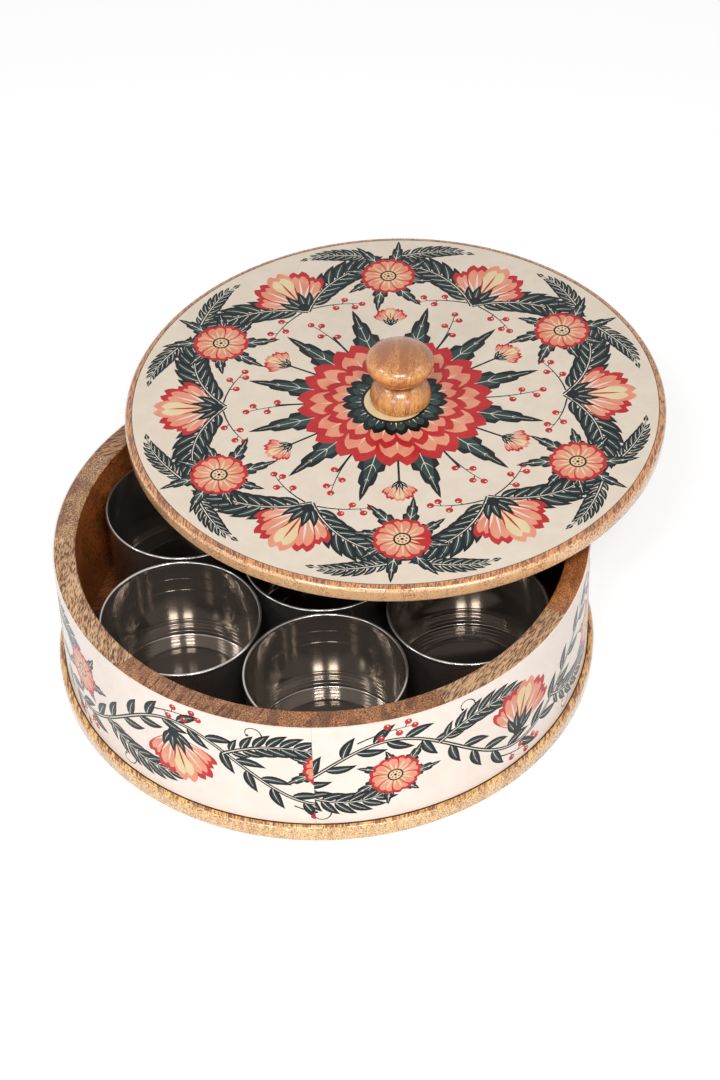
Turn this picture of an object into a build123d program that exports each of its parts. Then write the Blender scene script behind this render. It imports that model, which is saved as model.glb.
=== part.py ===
"""Round wooden spice box with steel cups, open, its lid lying askew on the rim.

Millimetres, +Z up. The origin is the centre of the underside of the base board.
"""

import os
from math import acos, cos, degrees, pi, radians, sin, tan

from build123d import *

os.makedirs("parts", exist_ok=True)

# Cups: pressed steel, one in the middle and a ring of others around it
CUP_RADIUS = 36.0
CUP_HEIGHT = 46.0
CUP_SHEET = 0.6
CUP_CORNER_CHAMFER = 1.7
CUP_GAP = 1.2
CUPS_IN_RING = 6
FIRST_CUP_ANGLE = -90.0

# Wall: blocks glued edge to edge; the angles are the glue joints, anticlockwise from +X
WALL_THICKNESS = 9.6
CUP_TO_WALL_GAP = 0.6
GLUE_JOINT_ANGLES = (7.0, 43.0, 79.0, 115.0, 150.5, 179.0, 222.0, 258.0, 295.0, 331.0)
RIM_EASE = 0.8

# Printed skins: one wrapped round the wall and butted at the front, one let into the lid
PRINT_THICKNESS = 0.6
WRAP_SEAM_ANGLE = -93.0
WRAP_SEAM_GAP = 0.3
LID_PRINT_BORDER = 3.5

# Base board
BASE_THICKNESS = 8.3
BASE_OVERHANG = 3.0
BASE_EDGE_CHAMFER = 1.5

# Lid: a board that overhangs the wall, and a disc under it that drops inside the wall
LID_THICKNESS = 8.0
LID_OVERHANG = 4.6
LID_TOP_EDGE_CHAMFER = 1.6
LID_LOWER_EDGE_CHAMFER = 1.1
LOCATING_DISC_THICKNESS = 8.0
LOCATING_DISC_GAP = 1.3
LOCATING_DISC_EASE = 1.0
CUP_HEADROOM = 6.2

# Where the open lid lies: its locating disc rests on the rim, off the box's axis
LID_SHIFT_X = 35.5
LID_SHIFT_Y = 69.1

# Knob: turned, a flattened ball over a bell-shaped foot, a little off the lid's centre
KNOB_SHIFT_X = 2.7
KNOB_SHIFT_Y = 1.8
KNOB_FOOT_RADIUS = 14.2
KNOB_FOOT_SWELL_HEIGHT = 1.8
KNOB_FOOT_UNDERCUT = 1.0
KNOB_WAIST_RADIUS = 7.3
KNOB_WAIST_HEIGHT = 12.3
KNOB_HEAD_RADIUS = 15.6
KNOB_HEAD_SWELL_HEIGHT = 22.0
KNOB_HEIGHT = 29.1
KNOB_SWELL_FLAT_COUNT = 3
KNOB_CROWN_FLAT_COUNT = 4

# Screw from under the lid into the knob
SCREW_RADIUS = 2.0
SCREW_HEAD_RADIUS = 4.0
SCREW_HEAD_ANGLE = 90.0
SCREW_GRIP_IN_KNOB = 12.0
SCREW_TIP_LENGTH = 2.0
SCREW_TIP_CLEARANCE = 0.5
SCREW_SLOT_WIDTH = 1.0
SCREW_SLOT_DEPTH = 1.2
SCREW_HOLE_CLEARANCE = 0.25
SCREW_PILOT_CLEARANCE = 0.05

# Radii and heights that follow from the sizes above
cup_pitch = (2 * CUP_RADIUS + CUP_GAP) * max(1.0, 0.5 / sin(pi / CUPS_IN_RING))
wall_inner_radius = cup_pitch + CUP_RADIUS + CUP_TO_WALL_GAP
wall_outer_radius = wall_inner_radius + WALL_THICKNESS
box_radius = wall_outer_radius + PRINT_THICKNESS
base_radius = box_radius + BASE_OVERHANG
rim_height = BASE_THICKNESS + CUP_HEIGHT + CUP_HEADROOM + LOCATING_DISC_THICKNESS
wall_height = rim_height - BASE_THICKNESS
locating_disc_radius = wall_inner_radius - LOCATING_DISC_GAP
lid_radius = box_radius + LID_OVERHANG
lid_print_radius = lid_radius - LID_PRINT_BORDER

# Planes that carry the lid's pieces
disc_underside = Plane(origin=(LID_SHIFT_X, LID_SHIFT_Y, rim_height))
lid_underside = disc_underside.offset(LOCATING_DISC_THICKNESS)
print_underside = lid_underside.offset(LID_THICKNESS - PRINT_THICKNESS)
knob_foot = Vector(LID_SHIFT_X + KNOB_SHIFT_X, LID_SHIFT_Y + KNOB_SHIFT_Y, 0) + Vector(
    0, 0, rim_height + LOCATING_DISC_THICKNESS + LID_THICKNESS
)


def upright(foot):
    """The plane of a turned profile: its X runs out from the axis through foot, its Y up."""
    return Plane(origin=foot, x_dir=(1, 0, 0), z_dir=(0, -1, 0))


def round_stretch(centre, radii, start, end, flats):
    """Points of a round stretch turned as a few flats, from start to end in degrees."""
    angles = [radians(start + (end - start) * step / flats) for step in range(flats + 1)]
    return [(centre[0] + radii[0] * cos(a), centre[1] + radii[1] * sin(a)) for a in angles]


def save(part, name):
    part.label = name
    export_step(part, f"parts/{name}.step")


# Base board
with BuildPart() as base_board:
    with BuildSketch(Plane.XY):
        Circle(base_radius)
    extrude(amount=BASE_THICKNESS)
    chamfer(base_board.edges().filter_by(GeomType.CIRCLE), BASE_EDGE_CHAMFER)
save(base_board.part, "base_board")

# Wall segments
joint_ends = GLUE_JOINT_ANGLES[1:] + (GLUE_JOINT_ANGLES[0] + 360.0,)
for number, (start, end) in enumerate(zip(GLUE_JOINT_ANGLES, joint_ends), start=1):
    with BuildPart() as wall_segment:
        with BuildSketch(Plane.XY.offset(BASE_THICKNESS)):
            with BuildLine():
                outside = CenterArc((0, 0), wall_outer_radius, start, end - start)
                inside = CenterArc((0, 0), wall_inner_radius, start, end - start)
                Line(outside @ 0, inside @ 0)
                Line(outside @ 1, inside @ 1)
            make_face()
        extrude(amount=wall_height)
        rim_edges = wall_segment.edges().filter_by(GeomType.CIRCLE).group_by(Axis.Z)[-1]
        chamfer(rim_edges.sort_by(SortBy.RADIUS)[0], RIM_EASE)
    save(wall_segment.part, f"wall_segment_{number}")

# Printed skin round the wall
seam_half_angle = WRAP_SEAM_GAP / 2 / box_radius * 180 / pi
wrap_start = WRAP_SEAM_ANGLE + seam_half_angle
wrap_turn = 360.0 - 2 * seam_half_angle
with BuildPart() as print_band:
    with BuildSketch(Plane.XY.offset(BASE_THICKNESS)):
        with BuildLine():
            outside = CenterArc((0, 0), box_radius, wrap_start, wrap_turn)
            inside = CenterArc((0, 0), wall_outer_radius, wrap_start, wrap_turn)
            Line(outside @ 0, inside @ 0)
            Line(outside @ 1, inside @ 1)
        make_face()
    extrude(amount=wall_height)
save(print_band.part, "print_band")

# Cups
cup_places = {"cup_centre": (0.0, 0.0)}
for number in range(1, CUPS_IN_RING + 1):
    angle = radians(FIRST_CUP_ANGLE + (number - 1) * 360.0 / CUPS_IN_RING)
    cup_places[f"cup_{number}"] = (cup_pitch * cos(angle), cup_pitch * sin(angle))

for name, (x, y) in cup_places.items():
    with BuildPart() as cup:
        with BuildSketch(Plane(origin=(x, y, BASE_THICKNESS))):
            Circle(CUP_RADIUS)
        extrude(amount=CUP_HEIGHT)
        rings = cup.edges().filter_by(GeomType.CIRCLE).sort_by(Axis.Z)
        chamfer(rings[0], CUP_CORNER_CHAMFER)
        offset(amount=-CUP_SHEET, openings=cup.faces().sort_by(Axis.Z)[-1])
    save(cup.part, name)

# Lid board, recessed on top for its print and bored for the knob's screw
with BuildPart() as lid_board:
    with BuildSketch(lid_underside):
        Circle(lid_radius)
    extrude(amount=LID_THICKNESS)
    rings = lid_board.edges().filter_by(GeomType.CIRCLE).sort_by(Axis.Z)
    chamfer(rings[-1], LID_TOP_EDGE_CHAMFER)
    chamfer(rings[0], LID_LOWER_EDGE_CHAMFER)
    with BuildSketch(print_underside):
        Circle(lid_print_radius)
    extrude(amount=PRINT_THICKNESS, mode=Mode.SUBTRACT)
    with Locations(knob_foot):
        Hole(SCREW_RADIUS + SCREW_HOLE_CLEARANCE)
save(lid_board.part, "lid_board")

# Printed disc, with a hole where the screw passes under the knob
with BuildPart() as lid_print:
    with BuildSketch(print_underside):
        Circle(lid_print_radius)
    extrude(amount=PRINT_THICKNESS)
    with Locations(knob_foot):
        Hole(SCREW_RADIUS + SCREW_HOLE_CLEARANCE)
save(lid_print.part, "lid_print")

# Locating disc under the lid, countersunk for the screw's head
screw_head_foot = Vector(knob_foot.X, knob_foot.Y, rim_height)
with BuildPart() as lid_locating_disc:
    with BuildSketch(disc_underside):
        Circle(locating_disc_radius)
    extrude(amount=LOCATING_DISC_THICKNESS)
    disc_edges = lid_locating_disc.edges().filter_by(GeomType.CIRCLE).sort_by(Axis.Z)
    chamfer(disc_edges[0], LOCATING_DISC_EASE)
    with Locations(Plane(origin=screw_head_foot, z_dir=(0, 0, -1))):
        CounterSinkHole(
            radius=SCREW_RADIUS + SCREW_HOLE_CLEARANCE,
            counter_sink_radius=SCREW_HEAD_RADIUS + SCREW_HOLE_CLEARANCE,
            counter_sink_angle=SCREW_HEAD_ANGLE,
        )
save(lid_locating_disc.part, "lid_locating_disc")

# Knob: two swells that meet in a crease at the waist, bored from below for the screw
foot_angle = degrees(acos(KNOB_WAIST_RADIUS / KNOB_FOOT_RADIUS))
head_angle = degrees(acos(KNOB_WAIST_RADIUS / KNOB_HEAD_RADIUS))
foot_rise = (KNOB_WAIST_HEIGHT - KNOB_FOOT_SWELL_HEIGHT) / sin(radians(foot_angle))
head_drop = (KNOB_HEAD_SWELL_HEIGHT - KNOB_WAIST_HEIGHT) / sin(radians(head_angle))
foot_swell = (KNOB_FOOT_RADIUS, foot_rise)
head_swell = (KNOB_HEAD_RADIUS, head_drop)
crown = (KNOB_HEAD_RADIUS, KNOB_HEIGHT - KNOB_HEAD_SWELL_HEIGHT)
foot_centre = (0, KNOB_FOOT_SWELL_HEIGHT)
head_centre = (0, KNOB_HEAD_SWELL_HEIGHT)
with BuildPart() as lid_knob:
    with BuildSketch(upright(knob_foot)):
        with BuildLine():
            Polyline(
                (0, 0),
                (KNOB_FOOT_RADIUS - KNOB_FOOT_UNDERCUT, 0),
                *round_stretch(foot_centre, foot_swell, 0, foot_angle, KNOB_SWELL_FLAT_COUNT),
                *round_stretch(head_centre, head_swell, -head_angle, 0, KNOB_SWELL_FLAT_COUNT)[1:],
                *round_stretch(head_centre, crown, 0, 90, KNOB_CROWN_FLAT_COUNT)[1:],
                close=True,
            )
        make_face()
    revolve(axis=Axis(knob_foot, (0, 0, 1)))
    with BuildSketch(Plane(origin=knob_foot)):
        Circle(SCREW_RADIUS + SCREW_PILOT_CLEARANCE)
    extrude(amount=SCREW_GRIP_IN_KNOB + SCREW_TIP_CLEARANCE, mode=Mode.SUBTRACT)
save(lid_knob.part, "lid_knob")

# Screw: its head flush with the locating disc's underside, its tip inside the knob
screw_length = knob_foot.Z + SCREW_GRIP_IN_KNOB - rim_height
screw_neck_height = (SCREW_HEAD_RADIUS - SCREW_RADIUS) / tan(radians(SCREW_HEAD_ANGLE / 2))
with BuildPart() as knob_screw:
    with BuildSketch(upright(screw_head_foot)):
        with BuildLine():
            Polyline(
                (0, 0),
                (SCREW_HEAD_RADIUS, 0),
                (SCREW_RADIUS, screw_neck_height),
                (SCREW_RADIUS, screw_length - SCREW_TIP_LENGTH),
                (0, screw_length),
                close=True,
            )
        make_face()
    revolve(axis=Axis(screw_head_foot, (0, 0, 1)))
    with BuildSketch(Plane(origin=screw_head_foot)):
        Rectangle(2 * SCREW_HEAD_RADIUS, SCREW_SLOT_WIDTH)
    extrude(amount=SCREW_SLOT_DEPTH, mode=Mode.SUBTRACT)
save(knob_screw.part, "knob_screw")
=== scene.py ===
from math import acos, atan2, cos, degrees, hypot, log, pi, radians, sin

import bmesh
import bpy
from mathutils import Matrix, Vector
from mathutils.geometry import delaunay_2d_cdt


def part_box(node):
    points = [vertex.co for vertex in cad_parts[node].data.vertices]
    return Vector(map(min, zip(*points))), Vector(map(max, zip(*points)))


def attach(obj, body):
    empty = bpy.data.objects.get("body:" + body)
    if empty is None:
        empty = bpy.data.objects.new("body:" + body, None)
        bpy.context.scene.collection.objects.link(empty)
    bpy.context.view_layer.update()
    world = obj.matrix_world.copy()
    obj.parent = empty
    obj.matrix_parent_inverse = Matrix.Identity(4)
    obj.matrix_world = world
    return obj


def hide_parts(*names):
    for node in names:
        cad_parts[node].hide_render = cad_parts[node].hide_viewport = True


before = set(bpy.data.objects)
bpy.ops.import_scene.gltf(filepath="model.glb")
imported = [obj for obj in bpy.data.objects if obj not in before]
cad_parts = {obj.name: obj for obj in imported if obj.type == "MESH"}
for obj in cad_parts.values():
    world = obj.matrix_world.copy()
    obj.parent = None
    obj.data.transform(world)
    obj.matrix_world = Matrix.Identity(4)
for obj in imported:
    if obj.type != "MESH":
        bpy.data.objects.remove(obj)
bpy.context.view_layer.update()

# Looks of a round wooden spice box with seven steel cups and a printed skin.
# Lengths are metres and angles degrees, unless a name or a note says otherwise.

MM = 0.001


# Camera, at the photograph's viewing angle. Its angles are radians.

CAMERA_ELEVATION = 0.755
CAMERA_ROLL = -0.037
CAMERA_DISTANCE = 1.32045
CAMERA_ASIDE = 0.015393
CAMERA_LIFT = 0.04599
CAMERA_NEAR = 0.05
CAMERA_FAR = 20.0
LENS_MM = 95.05
SENSOR_MM = 36.0


def add_camera():
    """A camera in front of the box, looking down at it, a little rolled."""
    right = Vector((1, 0, 0))
    up = Vector((0, sin(CAMERA_ELEVATION), cos(CAMERA_ELEVATION)))
    back = Vector((0, -cos(CAMERA_ELEVATION), sin(CAMERA_ELEVATION)))
    roll = Matrix.Rotation(CAMERA_ROLL, 3, back)
    right, up = roll @ right, roll @ up
    data = bpy.data.cameras.new("camera")
    data.lens = LENS_MM
    data.sensor_width = SENSOR_MM
    data.clip_start = CAMERA_NEAR
    data.clip_end = CAMERA_FAR
    camera = bpy.data.objects.new("camera", data)
    bpy.context.scene.collection.objects.link(camera)
    turn = Matrix((right, up, back)).transposed()
    place = CAMERA_ASIDE * right + CAMERA_LIFT * up + CAMERA_DISTANCE * back
    camera.matrix_world = Matrix.Translation(place) @ turn.to_4x4()
    bpy.context.scene.camera = camera


# Light: a plain white world, a white floor and soft rectangular lamps that all look at the box

LAMP_DISTANCE = 1.5
# Name, azimuth (0 in front of the box, positive to the right), elevation, width and height, power in watts
LAMPS = (
    ("window_left", -12, 54, (0.20, 0.20), 5.2),
    ("window_right", 12, 54, (0.20, 0.20), 5.2),
    ("strip_left", -30, 27, (0.45, 0.22), 2.5),
    ("strip_right", 26, 27, (0.52, 0.22), 2.6),
    ("low_left", -15, 11, (0.06, 0.26), 0.8),
    ("low_right", 28, 6, (0.20, 0.30), 0.6),
    ("side_left", -58, 44, (0.14, 0.34), 1.2),
    ("softbox_left", -86, 49, (0.16, 0.20), 2.0),
    ("softbox_right", 86, 48, (0.34, 0.14), 1.3),
)
WHITE = (1.0, 1.0, 1.0, 1.0)
BLACK = (0.0, 0.0, 0.0, 1.0)
WORLD_LEVEL = 0.28
FLOOR_SIDE = 6.0
FLOOR_FADE_START = 0.3
FLOOR_FADE_END = 1.6
FLOOR_PAINT = (0.80, 0.80, 0.80, 1.0)
FLOOR_SEEN_PAINT = (0.40, 0.40, 0.40, 1.0)
FLOOR_SEEN_GLOW = 0.74


def add_lamps():
    for name, azimuth, elevation, size, power in LAMPS:
        data = bpy.data.lights.new(name, "AREA")
        data.shape = "RECTANGLE"
        data.size, data.size_y = size
        data.energy = power
        lamp = bpy.data.objects.new(name, data)
        bpy.context.scene.collection.objects.link(lamp)
        a, e = radians(azimuth), radians(elevation)
        back = Vector((sin(a) * cos(e), -cos(a) * cos(e), sin(e)))
        lamp.location = back * LAMP_DISTANCE
        lamp.rotation_mode = "QUATERNION"
        lamp.rotation_quaternion = (-back).to_track_quat("-Z", "Y")


# Node trees


class Graph:
    """A node tree with short ways to add and join nodes."""

    def __init__(self, tree):
        self.tree = tree
        tree.nodes.clear()

    def add(self, kind, inputs=None, **settings):
        node = self.tree.nodes.new(kind)
        for name, value in settings.items():
            setattr(node, name, value)
        for name, value in (inputs or {}).items():
            self.put(node.inputs[name], value)
        return node

    def put(self, socket, value):
        if isinstance(value, bpy.types.NodeSocket):
            self.tree.links.new(value, socket)
        else:
            socket.default_value = value

    def math(self, operation, first, second=0.0, third=None):
        node = self.add("ShaderNodeMath", operation=operation)
        self.put(node.inputs[0], first)
        self.put(node.inputs[1], second)
        if third is not None:
            self.put(node.inputs[2], third)
        return node.outputs[0]

    def mix(self, share, first, second):
        """Two colours mixed. Inputs 6 and 7 and output 2 are the node's sockets for colours."""
        node = self.add("ShaderNodeMix", data_type="RGBA")
        self.put(node.inputs[0], share)
        self.put(node.inputs[6], first)
        self.put(node.inputs[7], second)
        return node.outputs[2]

    def ramp(self, value, low, high, start=0.0, end=1.0):
        """The value moved from the span low to high into the span start to end, held at its ends."""
        node = self.add("ShaderNodeMapRange", interpolation_type="SMOOTHSTEP")
        for number, given in enumerate((value, low, high, start, end)):
            self.put(node.inputs[number], given)
        return node.outputs[0]

    def noise(self, place, scale, detail, roughness, distortion=0.0):
        inputs = {"Vector": place, "Scale": scale, "Detail": detail}
        inputs.update({"Roughness": roughness, "Distortion": distortion})
        return self.add("ShaderNodeTexNoise", inputs).outputs["Fac"]

    def stretched(self, place, turn, scale):
        """Coordinates turned by Euler angles and then scaled along each axis."""
        turned = self.add("ShaderNodeMapping", {"Vector": place, "Rotation": turn}).outputs[0]
        return self.add("ShaderNodeMapping", {"Vector": turned, "Scale": scale}).outputs[0]

    def bump(self, height, distance, strength):
        inputs = {"Height": height, "Distance": distance, "Strength": strength}
        return self.add("ShaderNodeBump", inputs).outputs[0]


def linear(red, green, blue):
    """A colour as a screen shows it, 0 to 255, turned into the linear colour that shaders take."""
    shares = (c / 255 for c in (red, green, blue))
    return tuple(c / 12.92 if c <= 0.04045 else ((c + 0.055) / 1.055) ** 2.4 for c in shares) + (1.0,)


# World and floor


def seen_ray(graph):
    """1 for rays from the camera, off gloss or through glass, which see the plain white background."""
    path = graph.add("ShaderNodeLightPath").outputs
    either = graph.math("MAXIMUM", path["Is Camera Ray"], path["Is Glossy Ray"])
    return graph.math("MAXIMUM", either, path["Is Transmission Ray"])


def add_world():
    world = bpy.data.worlds.new("studio")
    world.use_nodes = True
    bpy.context.scene.world = world
    graph = Graph(world.node_tree)
    strength = graph.ramp(seen_ray(graph), 0.0, 1.0, WORLD_LEVEL, 1.0)
    shader = graph.add("ShaderNodeBackground", {"Color": WHITE, "Strength": strength})
    output = graph.add("ShaderNodeOutputWorld")
    graph.put(output.inputs["Surface"], shader.outputs[0])


def add_floor():
    """A floor that keeps a soft shadow. What is seen of it glows, more and more with the distance
    from the box, so that it goes over into the white background."""
    bpy.ops.mesh.primitive_plane_add(size=FLOOR_SIDE, location=(0, 0, 0))
    floor = bpy.context.object
    floor.name = "floor"
    material = bpy.data.materials.new("floor_white")
    material.use_nodes = True
    graph = Graph(material.node_tree)
    seen = seen_ray(graph)
    place = graph.add("ShaderNodeTexCoord").outputs["Object"]
    away = graph.add("ShaderNodeVectorMath", {0: place}, operation="LENGTH")
    far = graph.ramp(away.outputs["Value"], FLOOR_FADE_START, FLOOR_FADE_END)
    paint = graph.mix(seen, FLOOR_PAINT, graph.mix(far, FLOOR_SEEN_PAINT, BLACK))
    strength = graph.math("MULTIPLY", seen, graph.ramp(far, 0.0, 1.0, FLOOR_SEEN_GLOW, 1.0))
    matt = graph.add("ShaderNodeBsdfDiffuse", {"Color": paint})
    glow = graph.add("ShaderNodeEmission", {"Color": WHITE, "Strength": strength})
    both = graph.add("ShaderNodeAddShader")
    graph.put(both.inputs[0], matt.outputs[0])
    graph.put(both.inputs[1], glow.outputs[0])
    output = graph.add("ShaderNodeOutputMaterial")
    graph.put(output.inputs["Surface"], both.outputs[0])
    floor.data.materials.append(material)


# Materials. A scale is the number of a pattern's spots in a metre. A stretch is given across the grain
# twice and then along it, and a small number makes the spots long.

SEED_STEP = (0.37, 0.71, 0.13)
YEARS_SCALE, YEARS_STRETCH, YEARS_SHARE = 230, (1.0, 0.3, 0.07), 0.42
CLOUDS_SCALE, CLOUDS_SHARE = 42, 0.4
FIBRE_SCALE, FIBRE_STRETCH, FIBRE_SHARE = 1300, (1.0, 1.0, 0.08), 1.3
DASH_SCALE, DASH_REACH, LONG_DASH_REACH = 1650, 0.14, 0.08
VESSEL_SCALE, VESSEL_STRETCH = 1350, (1.0, 1.0, 0.17)
VESSEL_PATCH_SCALE, VESSEL_PATCH_STRETCH = 420, (1.0, 1.0, 0.2)
CRACK_SCALE, CRACK_STRETCH, CRACK_SHARE = 230, (1.0, 1.0, 0.12), 0.9
CRACK_PATCH_SCALE = 120
WOOD_RELIEF = 0.06 * MM
WOOD_SPECULAR = 0.35
LACQUER_IOR = 1.6

INK_CLOUDS_SCALE = 90
INK_SPECKS_SCALE = 1400
LACQUER_WAVE_SCALE = 55
LACQUER_WAVE_RELIEF = 0.3 * MM
INK_SPECULAR = 0.22

SPINNING_SCALE = 900
SPINNING_RELIEF = 0.02 * MM
SMEAR_SCALE = 60
SMEAR_DARKENING = 0.82
SMEAR_DULLING = 0.04
STEEL_METALLIC = 0.88


def new_material(name):
    """A material, its graph and its shader, with the shader already shown."""
    material = bpy.data.materials.new(name)
    material.use_nodes = True
    graph = Graph(material.node_tree)
    shader = graph.add("ShaderNodeBsdfPrincipled")
    output = graph.add("ShaderNodeOutputMaterial")
    graph.put(output.inputs["Surface"], shader.outputs[0])
    return material, graph, shader


def grain_turn(grain):
    """Euler angles that turn the grain to Z."""
    return Vector(grain).rotation_difference(Vector((0, 0, 1))).to_euler()


def wood(name, colours, grain, seed, pores=0.75, gloss=0.35, coat=0.25, ends=0.25, cracks=None,
         strokes=0.65, size=1.0, reach=DASH_REACH, shine=0.06):
    """Oiled hardwood, in its light and dark colours and the colour of its pores.

    Grain is the way its fibres run. Faces across it show dots and are darker by ends, others show
    dashes. A negative ends makes faces across the grain lighter instead: painted light, which the lid and
    base use on their front and back. Cracks, where given, is the way that fine cracks run. Pores and strokes
    are how strong the dots and dashes are, size how big the dashes are, and a smaller reach makes them
    longer. Gloss is the wood's roughness, coat the weight of its oil and shine the oil's roughness.
    """
    light, dark, pore = colours
    material, graph, shader = new_material(name)
    coordinates = graph.add("ShaderNodeTexCoord").outputs
    shift = {"Vector": coordinates["Object"], "Location": [step * seed for step in SEED_STEP]}
    place = graph.add("ShaderNodeMapping", shift).outputs[0]
    turn = grain_turn(grain)
    years = graph.noise(graph.stretched(place, turn, YEARS_STRETCH), YEARS_SCALE, 3, 0.55, 0.5)
    clouds = graph.noise(place, CLOUDS_SCALE, 3, 0.55)
    fibres = graph.noise(graph.stretched(place, turn, FIBRE_STRETCH), FIBRE_SCALE, 3, 0.65)
    dashes = graph.noise(graph.stretched(place, turn, (1.0, 1.0, reach)), DASH_SCALE / size, 1.5, 0.5)
    shade = graph.math("MULTIPLY", clouds, CLOUDS_SHARE)
    shade = graph.math("MULTIPLY_ADD", graph.ramp(years, 0.36, 0.66), YEARS_SHARE, shade)
    shade = graph.math("MULTIPLY_ADD", graph.math("SUBTRACT", fibres, 0.5), FIBRE_SHARE, shade)
    shade = graph.math("MULTIPLY_ADD", graph.ramp(dashes, 0.51, 0.57), strokes, shade)
    inputs = {0: coordinates["Normal"], 1: Vector(grain).normalized()}
    facing = graph.add("ShaderNodeVectorMath", inputs, operation="DOT_PRODUCT")
    across = graph.ramp(graph.math("ABSOLUTE", facing.outputs["Value"]), 0.3, 1.0)
    shade = graph.math("MULTIPLY_ADD", across, ends, shade)
    colour = graph.mix(graph.ramp(shade, 0.10, 1.15), light, dark)
    inputs = {"Vector": graph.stretched(place, turn, VESSEL_STRETCH), "Scale": VESSEL_SCALE}
    vessels = graph.add("ShaderNodeTexVoronoi", inputs)
    patches = graph.noise(graph.stretched(place, turn, VESSEL_PATCH_STRETCH), VESSEL_PATCH_SCALE, 2, 0.5)
    sparse = graph.ramp(patches, 0.34, 0.52)
    dots = graph.math("MULTIPLY", graph.ramp(vessels.outputs["Distance"], 0.44, 0.24), sparse)
    colour = graph.mix(graph.math("MULTIPLY", dots, pores), colour, pore)
    if cracks:
        bands = graph.noise(graph.stretched(place, grain_turn(cracks), CRACK_STRETCH), CRACK_SCALE, 3, 0.6)
        thin = graph.ramp(graph.math("ABSOLUTE", graph.math("SUBTRACT", bands, 0.5)), 0.030, 0.012)
        patches = graph.ramp(graph.noise(place, CRACK_PATCH_SCALE, 1, 0.5), 0.38, 0.48)
        share = graph.math("MULTIPLY", graph.math("MULTIPLY", thin, patches), CRACK_SHARE)
        colour = graph.mix(share, colour, pore)
    graph.put(shader.inputs["Base Color"], colour)
    graph.put(shader.inputs["Roughness"], graph.ramp(fibres, 0.2, 0.8, gloss - 0.06, gloss + 0.10))
    shader.inputs["Specular IOR Level"].default_value = WOOD_SPECULAR
    shader.inputs["Coat Weight"].default_value = coat
    shader.inputs["Coat Roughness"].default_value = shine
    shader.inputs["Coat IOR"].default_value = LACQUER_IOR
    height = graph.math("SUBTRACT", graph.math("MULTIPLY", fibres, 0.35), dots)
    graph.put(shader.inputs["Normal"], graph.bump(height, WOOD_RELIEF, 0.35))
    return material


def ink(name, colour, other):
    """One colour of the printed skin under clear lacquer, faintly clouded with another."""
    material, graph, shader = new_material(name)
    place = graph.add("ShaderNodeTexCoord").outputs["Object"]
    clouds = graph.noise(place, INK_CLOUDS_SCALE, 4, 0.6)
    specks = graph.noise(place, INK_SPECKS_SCALE, 2, 0.5)
    waves = graph.noise(place, LACQUER_WAVE_SCALE, 2, 0.4)
    share = graph.math("MULTIPLY_ADD", specks, 0.30, graph.ramp(clouds, 0.35, 0.65, 0.0, 0.70))
    graph.put(shader.inputs["Base Color"], graph.mix(share, colour, other))
    graph.put(shader.inputs["Roughness"], graph.ramp(clouds, 0.3, 0.7, 0.20, 0.28))
    shader.inputs["Specular IOR Level"].default_value = INK_SPECULAR
    graph.put(shader.inputs["Normal"], graph.bump(waves, LACQUER_WAVE_RELIEF, 0.25))
    return material


def steel(name, colour, roughness, spun=0.0):
    """Polished steel with faint smears. Spun is how strong the rings from spinning are."""
    material, graph, shader = new_material(name)
    place = graph.add("ShaderNodeTexCoord").outputs["Object"]
    smears = graph.noise(place, SMEAR_SCALE, 3, 0.6)
    duller = tuple(c * SMEAR_DARKENING for c in colour[:3]) + (1.0,)
    graph.put(shader.inputs["Base Color"], graph.mix(smears, colour, duller))
    shader.inputs["Metallic"].default_value = STEEL_METALLIC
    dulled = graph.ramp(smears, 0.3, 0.7, roughness, roughness + SMEAR_DULLING)
    graph.put(shader.inputs["Roughness"], dulled)
    if spun:
        x, y, z = graph.add("ShaderNodeSeparateXYZ", {"Vector": place}).outputs
        out = graph.math("SQRT", graph.math("MULTIPLY_ADD", x, x, graph.math("MULTIPLY", y, y)))
        ring = graph.add("ShaderNodeCombineXYZ", {"X": out, "Y": 0.0, "Z": z}).outputs[0]
        lines = graph.noise(ring, SPINNING_SCALE, 3, 0.6)
        graph.put(shader.inputs["Normal"], graph.bump(lines, SPINNING_RELIEF, spun))
    return material


# Shapes. A face counts as on a level if its middle is less than FACE_MARGIN below.

SHARP_ANGLE = 35.0
FACE_MARGIN = 0.01 * MM


def foot(node):
    """The middle of a CAD node's foot, its radius and its height."""
    low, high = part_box(node)
    middle = (low + high) / 2
    return (middle.x, middle.y, low.z), (high.x - low.x) / 2, high.z - low.z


def turned_mesh(name, profile, start=0.0, end=360.0, *, steps):
    """A closed mesh made by turning a profile of (radius, height) about Z, between two angles in degrees."""
    whole = end - start >= 360.0
    rings = steps if whole else steps + 1
    made = bmesh.new()
    poles = {}
    columns = []
    for ring in range(rings):
        angle = radians(start + (end - start) * ring / steps)
        column = []
        for number, (radius, height) in enumerate(profile):
            if radius > 0:
                column.append(made.verts.new((radius * cos(angle), radius * sin(angle), height)))
            else:
                if number not in poles:
                    poles[number] = made.verts.new((0, 0, height))
                column.append(poles[number])
        columns.append(column)
    count = len(profile)
    for ring in range(steps):
        here, there = columns[ring], columns[(ring + 1) % rings]
        for number in range(count):
            after = (number + 1) % count
            corners = list(dict.fromkeys((here[number], there[number], there[after], here[after])))
            if len(corners) > 2:
                made.faces.new(corners)
    if not whole:
        made.faces.new(columns[0])
        made.faces.new(columns[-1][::-1])
    bmesh.ops.recalc_face_normals(made, faces=made.faces)
    mesh = bpy.data.meshes.new(name)
    made.to_mesh(mesh)
    made.free()
    mesh.shade_smooth()
    mesh.set_sharp_from_angle(angle=radians(SHARP_ANGLE))
    return mesh


def arc(centre, radii, start, end, steps):
    """Points along an elliptical arc of a profile, from start to end in degrees."""
    angles = [radians(start + (end - start) * step / steps) for step in range(steps + 1)]
    return [(centre[0] + radii[0] * cos(a), centre[1] + radii[1] * sin(a)) for a in angles]


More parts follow.
